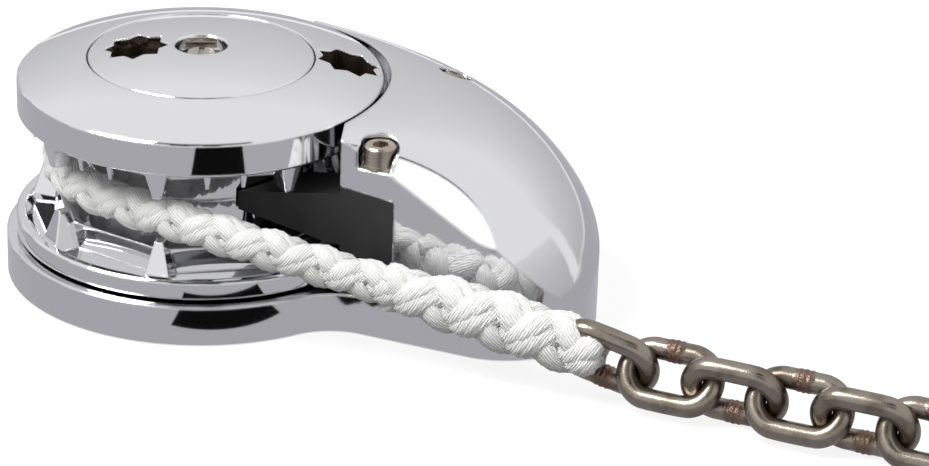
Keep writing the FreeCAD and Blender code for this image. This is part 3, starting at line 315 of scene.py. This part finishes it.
def fibreMaterial(name, colour, shade):
    material, nodes, links, shader = newMaterial(name, colour, yarnLook["roughness"])
    shader.inputs["Subsurface Weight"].default_value = yarnLook["scatter"]
    shader.inputs["Subsurface Radius"].default_value = (1.0, 1.0, 1.0)
    shader.inputs["Subsurface Scale"].default_value = yarnLook["scatterDepth"]
    shader.inputs["Sheen Weight"].default_value = yarnLook["sheen"]
    yarn = nodes.new("ShaderNodeTexWave")
    yarn.wave_type = "BANDS"
    yarn.bands_direction = "X"
    yarn.inputs["Scale"].default_value = yarnLook["lineScale"]
    yarn.inputs["Distortion"].default_value = yarnLook["lineWander"]
    yarn.inputs["Detail"].default_value = yarnLook["wanderDetail"]
    yarn.inputs["Detail Scale"].default_value = yarnLook["wanderScale"]
    links.new(slantedMap(nodes, links, (1, 1, 1)), yarn.inputs["Vector"])
    hair = nodes.new("ShaderNodeTexNoise")
    hair.inputs["Scale"].default_value = yarnLook["hairScale"]
    links.new(slantedMap(nodes, links, yarnLook["hairStretch"]), hair.inputs["Vector"])
    height = mathStep(nodes, links, "MULTIPLY_ADD", yarn.outputs["Fac"], yarnLook["lineHeight"],
                      hair.outputs["Fac"])
    addRelief(nodes, links, height, yarnLook["relief"], yarnLook["reliefStrength"])
    lit = shareBetween(nodes, links, height, 0, yarnLook["litFrom"])
    links.new(mixColours(nodes, links, lit, shade, colour), shader.inputs["Base Color"])
    return material


ropeFinish = fibreMaterial("ropeYarn", (0.94, 0.94, 0.92), (0.50, 0.48, 0.43))
spliceFinish = fibreMaterial("spliceYarn", (0.95, 0.95, 0.935), (0.54, 0.52, 0.47))


# The rope's route, from the pipe round the wheel to the splice, and its strands, in millimetres
rope = {
    "diameter": 15.5, "curveOrder": 3, "curveSteps": 20,
    "route": [
        (102, 28, 1.5), (102, 28, 16), (97, 29.2, 31), (86, 31.8, 41.1), (70, 35.4, 44.1),
        (38, 44.9, 44.1), (-0.5, 51.9, 44.1), (-24.4, 45.6, 44.1), (-44.3, 30.1, 44.1),
        (-53.2, 6.2, 44.1), (-50, -19.2, 44.1), (-35.4, -40.2, 44.1), (-12.8, -52, 44.1),
        (35.6, -58.7, 43.1), (88.1, -45.5, 30.2), (138.1, -41.8, 24), (179, -39, 16.3),
    ],
    "strandHalfWidth": 3.55, "strandHalfDepth": 2.45, "ring": 4.2, "weave": 1.25, "lay": 37,
    "lobes": 7, "pairAngle": 52, "phase": 65, "sides": 21, "endTaper": 0,
    "coreShrink": 0.2, "coreBlend": 0.04,  # the rope narrows inside the splice
}
splice = {
    "startX": 98, "strandHalfWidth": 4.6, "strandHalfDepth": 3.3, "ring": 5.6, "weave": 1.7, "lay": 44,
    "lobes": 12, "pairAngle": 50, "phase": 65, "sides": 36, "endTaper": 3,
    "firstSize": 0.84, "swell": 0.24, "swollenBy": 0.45, "shrink": 0.10, "shrinkFrom": 0.75,
}
strand = {"lobeDepth": 0.07, "lobeTwist": 0.55, "tipSize": 0.45, "step": 1.5, "floorGap": 0.5}


def routeLine(name, points):
    # the smooth centre line, read back as points
    curve = bpy.data.curves.new(name, "CURVE")
    curve.dimensions = "3D"
    spline = curve.splines.new("NURBS")
    spline.points.add(len(points) - 1)
    for knot, place in zip(spline.points, points):
        knot.co = (*mm(*place), 1)
    spline.order_u = rope["curveOrder"]
    spline.use_endpoint_u = True
    spline.resolution_u = rope["curveSteps"]
    item = bpy.data.objects.new(name, curve)
    scene.collection.objects.link(item)
    smooth = item.evaluated_get(bpy.context.evaluated_depsgraph_get())
    mesh = bpy.data.meshes.new_from_object(smooth)
    line = [vertex.co.copy() for vertex in mesh.vertices]
    bpy.data.objects.remove(item)
    return line


def evenSteps(line, step):
    # places along a line at even distances, in metres
    places, left = [line[0].copy()], step
    for here, there in zip(line, line[1:]):
        span, done = (there - here).length, 0.0
        while span - done >= left:
            done += left
            places.append(here.lerp(there, done / span))
            left = step
        left -= span - done
    return places


def carriedFrames(places):
    # the way along and two ways across, carried from place to place without twist
    frames, across = [], Vector((0, 0, 1))
    tooNear = 0.99  # the old way across is nearly the new way along
    for index in range(len(places)):
        ahead, behind = places[min(index + 1, len(places) - 1)], places[max(index - 1, 0)]
        along = (ahead - behind).normalized()
        if abs(across.dot(along)) < tooNear:
            across = (across - along * across.dot(along)).normalized()
        else:
            across = Vector((0, 1, 0))
        frames.append((along, across, along.cross(across)))
    return frames


def tubeMesh(name, strands, material, sides):
    # closed tubes from rings of points, with a UV map in millimetres round and along
    verts, faces, uvs = [], [], []
    for rings, lengths in strands:
        first = len(verts)
        for ring in rings:
            verts.extend(ring)
        girth = sum((rings[0][k] - rings[0][k - 1]).length for k in range(sides)) * 1000
        for row in range(len(rings) - 1):
            for side in range(sides):
                after = (side + 1) % sides
                faces.append((first + row * sides + side, first + row * sides + after,
                              first + (row + 1) * sides + after, first + (row + 1) * sides + side))
                left, right = girth * side / sides, girth * (side + 1) / sides
                uvs.extend(((left, lengths[row]), (right, lengths[row]),
                            (right, lengths[row + 1]), (left, lengths[row + 1])))
        last = first + (len(rings) - 1) * sides
        faces.append(tuple(first + k for k in reversed(range(sides))))
        faces.append(tuple(last + k for k in range(sides)))
        uvs.extend([(0, 0)] * (2 * sides))
    mesh = bpy.data.meshes.new(name)
    mesh.from_pydata([tuple(v) for v in verts], [], faces)
    layer = mesh.uv_layers.new(name="UVMap")
    for loop, value in zip(layer.data, uvs):
        loop.uv = value
    mesh.shade_smooth()
    mesh.materials.append(material)
    item = bpy.data.objects.new(name, mesh)
    scene.collection.objects.link(item)
    return item


def strandCentres(places, frames, look, startAlong, sizeAt, way, pair, side):
    # one strand's centre line: its places, ways outwards, sizes and distances along
    step = (places[1] - places[0]).length * 1000
    centres = []
    for index, (place, (_, across, third)) in enumerate(zip(places, frames)):
        travel = startAlong + index * step
        size = sizeAt(index / (len(places) - 1))
        turn = math.radians(way * 360 * travel / look["lay"] + pair + side * look["pairAngle"])
        middle = math.radians(way * 360 * travel / look["lay"] + pair)
        reach = (look["ring"] + way * look["weave"] * math.cos(2 * middle)) * size
        turn += math.radians(look["phase"])
        outward = across * math.cos(turn) + third * math.sin(turn)
        centres.append((place + outward * reach / 1000, outward, size, travel))
    return centres


def strandRings(centres, look, step, way):
    # the strand's flat, lobed outline at each of its centres
    rings = []
    for index, (centre, outward, size, travel) in enumerate(centres):
        ahead = centres[min(index + 1, len(centres) - 1)][0]
        behind = centres[max(index - 1, 0)][0]
        along = (ahead - behind).normalized()
        depthWay = (outward - along * outward.dot(along)).normalized()
        widthWay = along.cross(depthWay)
        pinch = 1.0
        if look["endTaper"]:
            fromEnd = (len(centres) - 1 - index) * step
            pinch = min(1.0, strand["tipSize"] + (1 - strand["tipSize"]) * fromEnd / look["endTaper"])
        ring = []
        for number in range(look["sides"]):
            angle = 2 * math.pi * number / look["sides"]
            swirl = look["lobes"] * angle + travel * strand["lobeTwist"] * way
            lobe = 1 + strand["lobeDepth"] * math.cos(swirl)
            reach = (widthWay * math.cos(angle) * look["strandHalfWidth"]
                     + depthWay * math.sin(angle) * look["strandHalfDepth"])
            spot = centre + reach * lobe * size * pinch / 1000
            spot.z = max(spot.z, strand["floorGap"] / 1000)
            ring.append(spot)
        rings.append(ring)
    return rings


def plaitedStrands(places, frames, look, startAlong, sizeAt):
    # eight strands in four pairs, two pairs turning each way and crossing on the four sides
    strands = []
    step = (places[1] - places[0]).length * 1000
    for way in (1, -1):
        for pair in (0, 180):
            for side in (-0.5, 0.5):
                centres = strandCentres(places, frames, look, startAlong, sizeAt, way, pair, side)
                lengths = [centre[-1] for centre in centres]
                strands.append((strandRings(centres, look, step, way), lengths))
    return strands


ropeLine = routeLine("rodeLine", rope["route"])
ropePlaces = evenSteps(ropeLine, strand["step"] / 1000)
ropeFrames = carriedFrames(ropePlaces)
halfWay = len(ropePlaces) // 2
spliceFrom = next(index for index, place in enumerate(ropePlaces)
                  if index > halfWay and place.x > splice["startX"] / 1000)
spliceShare = spliceFrom / (len(ropePlaces) - 1)


def ropeSize(share):
    # thinner where it is the splice's core
    inside = min(1, max(0, (share - spliceShare) / rope["coreBlend"]))
    return 1.0 - rope["coreShrink"] * inside


def spliceSize(share):
    # swells from the rope, and shrinks again towards the chain
    swollen = splice["swell"] * min(1, share / splice["swollenBy"])
    shrunk = splice["shrink"] * max(0, (share - splice["shrinkFrom"]) / (1 - splice["shrinkFrom"]))
    return splice["firstSize"] + swollen - shrunk


ropeStrands = plaitedStrands(ropePlaces, ropeFrames, rope, 0, ropeSize)
ropePiece = tubeMesh("plaitedRope", ropeStrands, ropeFinish, rope["sides"])
spliceStrands = plaitedStrands(ropePlaces[spliceFrom:], ropeFrames[spliceFrom:], splice,
                               spliceFrom * strand["step"], spliceSize)
splicePiece = tubeMesh("plaitedSplice", spliceStrands, spliceFinish, splice["sides"])
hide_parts("rode_rope")
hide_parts("rope_splice")
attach(ropePiece, "deck")
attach(splicePiece, "deck")


# Chain links with their butt welds, leaning to both sides as they lie, in millimetres and degrees
chain = {
    "wire": 4.0, "bend": 9.4, "straight": 6.65, "count": 6, "firstX": 179.6, "pitch": 24.15, "y": -38.0,
    "drift": -0.9, "z": 13.5, "evenRoll": 54, "oddRoll": -74, "firstTilt": 11, "firstLift": 2.2,
    "bendSegments": 34, "wireSegments": 20, "weldCuts": 23, "weldHalf": 2.6, "weldFade": 1.4,
    "beadReach": 0.32, "beads": (1.03, 1.10, 1.05, 1.13, 1.04, 1.11, 1.03),  # growth of each ring
}
weldLook = {
    "tint": (0.15, 0.085, 0.058), "tintAmount": 0.75, "roughness": 0.16, "crustScale": 900,
    "crustDetail": 2, "crustDepth": 0.00012, "crustAmount": 4.0, "plainAmount": 0.25,
}


def pick(item, kind, isPicked):
    # in edit mode, only the vertices or edges that pass are selected
    bpy.ops.object.mode_set(mode="EDIT")
    bpy.ops.mesh.select_mode(type=kind)
    bpy.ops.mesh.select_all(action="DESELECT")
    bpy.ops.object.mode_set(mode="OBJECT")
    for element in (item.data.edges if kind == "EDGE" else item.data.vertices):
        element.select = isPicked(element)
    bpy.ops.object.mode_set(mode="EDIT")


def makeLink():
    bpy.ops.object.select_all(action="DESELECT")
    bpy.ops.mesh.primitive_torus_add(
        major_radius=chain["bend"] / 1000, minor_radius=chain["wire"] / 1000,
        major_segments=chain["bendSegments"], minor_segments=chain["wireSegments"])
    link = bpy.context.object
    half = chain["straight"] / 1000
    for way in (1, -1):
        pick(link, "VERT", lambda vertex: vertex.co.x * way > 0)
        bpy.ops.transform.translate(value=(way * half, 0, 0))

    def onWeldedBar(edge):
        start, end = (link.data.vertices[number].co for number in edge.vertices)
        return (start - end).length > half and start.y > 0

    pick(link, "EDGE", onWeldedBar)
    bpy.ops.mesh.subdivide(number_cuts=chain["weldCuts"])
    lastBead = len(chain["beads"]) - 1
    for number, growth in enumerate(chain["beads"]):
        spot = chain["weldHalf"] / 1000 * (2 * number / lastBead - 1)
        pick(link, "VERT", lambda vertex: (abs(vertex.co.x - spot) < chain["beadReach"] / 1000
                                           and vertex.co.y > 0))
        bpy.ops.transform.resize(value=(1, growth, growth),
                                 center_override=(spot, chain["bend"] / 1000, 0))
    bpy.ops.mesh.select_all(action="SELECT")
    bpy.ops.mesh.normals_make_consistent(inside=False)
    bpy.ops.object.mode_set(mode="OBJECT")
    smooth = link.modifiers.new("smooth", "SUBSURF")
    smooth.levels = smooth.render_levels = 1
    bpy.ops.object.modifier_apply(modifier=smooth.name)
    bpy.ops.object.shade_smooth()
    weld = link.data.attributes.new("weld", "FLOAT", "POINT")
    for vertex, mark in zip(link.data.vertices, weld.data):
        far = abs(vertex.co.x) * 1000 / (chain["weldHalf"] + chain["weldFade"])
        mark.value = max(0.0, 1 - far ** 3) if vertex.co.y > 0 else 0.0
    return link


def placeLink(pattern, number, finish):
    link = pattern.copy()
    link.data = pattern.data.copy()
    link.name = link.data.name = "weldedLink%d" % number
    scene.collection.objects.link(link)
    step = number - 1
    roll = chain["oddRoll"] if number % 2 else chain["evenRoll"]
    tilt = chain["firstTilt"] if number == 1 else 0
    lift = chain["firstLift"] if number == 1 else 0
    place = Matrix.Translation(mm(chain["firstX"] + step * chain["pitch"],
                                  chain["y"] + step * chain["drift"], chain["z"] + lift))
    tilted = Matrix.Rotation(math.radians(tilt), 4, "Y")
    rolled = Matrix.Rotation(math.radians(roll), 4, "X")
    bpy.ops.object.select_all(action="DESELECT")
    link.matrix_world = place @ tilted @ rolled
    link.select_set(True)
    bpy.context.view_layer.objects.active = link
    bpy.ops.object.transform_apply(location=True, rotation=True, scale=True)
    link.data.materials.clear()
    link.data.materials.append(finish)
    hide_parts("chain_link_%d" % number)
    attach(link, "deck")
    return link


def weldedSteel():
    # burnt copper tint and a rough skin at the welds
    material = metal("weldedSteel", (0.27, 0.235, 0.20), 0.19, haze=0.14, stain=(0.12, 0.095, 0.072),
                     stainAmount=1.0, scale=110, grain=1500)
    nodes, links = material.node_tree.nodes, material.node_tree.links
    shader = nodes["Principled BSDF"]
    effect = next(node for node in nodes if node.type == "GROUP")
    weld = nodes.new("ShaderNodeAttribute")
    weld.attribute_name = "weld"
    atWeld = weld.outputs["Fac"]
    burnt = mathStep(nodes, links, "MULTIPLY", atWeld, weldLook["tintAmount"])
    tint = mixColours(nodes, links, burnt, effect.outputs["Colour"], weldLook["tint"])
    rough = mathStep(nodes, links, "MULTIPLY_ADD", atWeld, weldLook["roughness"],
                     effect.outputs["Roughness"])
    links.new(tint, shader.inputs["Base Color"])
    links.new(rough, shader.inputs["Roughness"])
    crust = cloudNoise(nodes, links, weldLook["crustScale"], weldLook["crustDetail"])
    amount = mathStep(nodes, links, "MULTIPLY_ADD", atWeld, weldLook["crustAmount"],
                      weldLook["plainAmount"])
    height = mathStep(nodes, links, "MULTIPLY", crust, amount)
    addRelief(nodes, links, height, weldLook["crustDepth"])
    return material


linkPattern = makeLink()
linkFinish = weldedSteel()
chainLinks = [placeLink(linkPattern, number, linkFinish) for number in range(1, chain["count"] + 1)]
bpy.data.objects.remove(linkPattern)
print("chain links with welds")


# Studio: white floor, soft lamps, and cards that only reflections see
studio = {
    "worldLight": 0.50, "floorGlow": 0.86, "floorColour": 0.16, "floorSize": 12,
    "floorPlace": (0.1, 0, -0.0003), "floorRoughness": 0.9, "lampAim": (0.09, 0, 0.03),
    "shiningLamp": "keyLamp",  # the only one seen in the polish
    # name, place, size, power
    "lamps": [
        ("keyLamp", (-0.75, -0.80, 1.6), 0.8, 38.0),
        ("fillLamp", (1.6, -0.6, 1.3), 1.2, 8.0),
        ("rimLamp", (0.4, 1.5, 1.2), 1.0, 6.0),
    ],
    # name, place, size, turn, colour at the foot, colour at the top
    "cards": [
        ("rearCard", (-0.6, 3.0, 1.6), (9.0, 3.2), (90, 0, 12),
         (0.60, 0.60, 0.62), (1.0, 1.0, 1.0)),
        ("overCamera", (0.30, -0.80, 1.85), (1.7, 0.75), (30, 0, 20),
         (0.02, 0.02, 0.02), (0.05, 0.05, 0.05)),
        ("floorCard", (0.20, -0.10, 0.0004), (2.6, 2.2), (0, 0, 15),
         (0.50, 0.50, 0.53), (0.5, 0.5, 0.53)),
        ("bandCard", (0.150, -0.205, 0.001), (0.105, 0.13), (0, 0, 40),
         (0.005, 0.005, 0.005), (0.01, 0.01, 0.01)),
        # painted shadow: a black card on the floor in front of the base, seen only in reflections, in
        # place of the rope's shadow
        ("paintedRopeShadowCard", (0.056, -0.078, 0.0008), (0.060, 0.022), (0, 0, 32),
         (0.004, 0.004, 0.004), (0.01, 0.01, 0.01)),
        ("crescentCard", (0.53, -1.22, 1.05), (0.24, 0.13), (52, 0, 19),
         (1.5, 1.5, 1.5), (1.7, 1.7, 1.7)),
        ("crescentSurround", (0.56, -1.31, 1.12), (0.85, 0.62), (52, 0, 19),
         (0.02, 0.02, 0.02), (0.03, 0.03, 0.03)),
        ("leftCard", (-1.3, -0.3, 0.25), (1.2, 0.5), (90, 0, 80),
         (0.35, 0.35, 0.38), (0.60, 0.60, 0.63)),
        ("farRightCard", (1.5, 0.3, 0.3), (1.4, 0.6), (90, 0, -80),
         (0.56, 0.56, 0.58), (0.85, 0.85, 0.86)),
    ],
}


def glowMaterial(name, low, high, foot, top):
    # a glow that goes evenly from one colour at the foot to the other at the top
    material = bpy.data.materials.new(name)
    material.use_nodes = True
    nodes, links = material.node_tree.nodes, material.node_tree.links
    nodes.clear()
    place = nodes.new("ShaderNodeTexCoord")
    split = nodes.new("ShaderNodeSeparateXYZ")
    links.new(place.outputs["Object"], split.inputs[0])
    fade = shareBetween(nodes, links, split.outputs["Z"], foot, top)
    glow = nodes.new("ShaderNodeEmission")
    links.new(mixColours(nodes, links, fade, low, high), glow.inputs["Color"])
    out = nodes.new("ShaderNodeOutputMaterial")
    links.new(glow.outputs[0], out.inputs["Surface"])
    return material


def addCard(name, place, size, turn, low, high):
    angles = [math.radians(angle) for angle in turn]
    bpy.ops.object.select_all(action="DESELECT")
    bpy.ops.mesh.primitive_plane_add(size=1, location=place, rotation=angles)
    card = bpy.context.object
    card.name = name
    card.scale = (*size, 1)
    bpy.ops.object.transform_apply(location=True, rotation=True, scale=True)
    heights = [vertex.co.z for vertex in card.data.vertices]
    leastFade = 0.001  # a flat card has no height to fade over
    glow = glowMaterial(name + "Glow", low, high, min(heights), max(heights) + leastFade)
    card.data.materials.append(glow)
    for way in ("camera", "diffuse", "shadow", "transmission"):
        setattr(card, "visible_" + way, False)


def addLamp(name, place, size, power):
    bpy.ops.object.select_all(action="DESELECT")
    bpy.ops.object.light_add(type="AREA", location=place)
    lamp = bpy.context.object
    lamp.name = name
    lamp.data.size = size
    lamp.data.energy = power
    lamp.visible_glossy = name == studio["shiningLamp"]
    away = Vector(place) - Vector(studio["lampAim"])
    lamp.rotation_euler = away.to_track_quat("Z", "Y").to_euler()


def seenDirectly(nodes, links, strength):
    # the strength for the camera, reflections and what glass lets through, none for other light
    path = nodes.new("ShaderNodeLightPath")
    total = path.outputs["Is Camera Ray"]
    for name in ("Is Glossy Ray", "Is Transmission Ray"):
        total = mathStep(nodes, links, "MAXIMUM", total, path.outputs[name])
    return mathStep(nodes, links, "MULTIPLY", total, strength)


def makeFloor():
    bpy.ops.object.select_all(action="DESELECT")
    bpy.ops.mesh.primitive_plane_add(size=studio["floorSize"], location=studio["floorPlace"])
    floor = bpy.context.object
    floor.name = "studioFloor"
    bpy.ops.object.transform_apply(location=True)
    shade = studio["floorColour"]
    material, nodes, links, shader = newMaterial("floorWhite", (shade,) * 3, studio["floorRoughness"])
    shader.inputs["Specular IOR Level"].default_value = 0
    shader.inputs["Emission Color"].default_value = (1, 1, 1, 1)
    glow = seenDirectly(nodes, links, studio["floorGlow"])
    links.new(glow, shader.inputs["Emission Strength"])
    floor.data.materials.append(material)


def makeWorld():
    world = bpy.data.worlds.new("studioWorld")
    scene.world = world
    world.use_nodes = True
    nodes, links = world.node_tree.nodes, world.node_tree.links
    background = nodes["Background"]
    background.inputs["Color"].default_value = (1, 1, 1, 1)
    extra = seenDirectly(nodes, links, 1 - studio["worldLight"])
    total = mathStep(nodes, links, "ADD", extra, studio["worldLight"])
    links.new(total, background.inputs["Strength"])


scene.view_settings.view_transform = "Standard"
makeFloor()
makeWorld()
for lamp in studio["lamps"]:
    addLamp(*lamp)
for card in studio["cards"]:
    addCard(*card)
print("studio set")
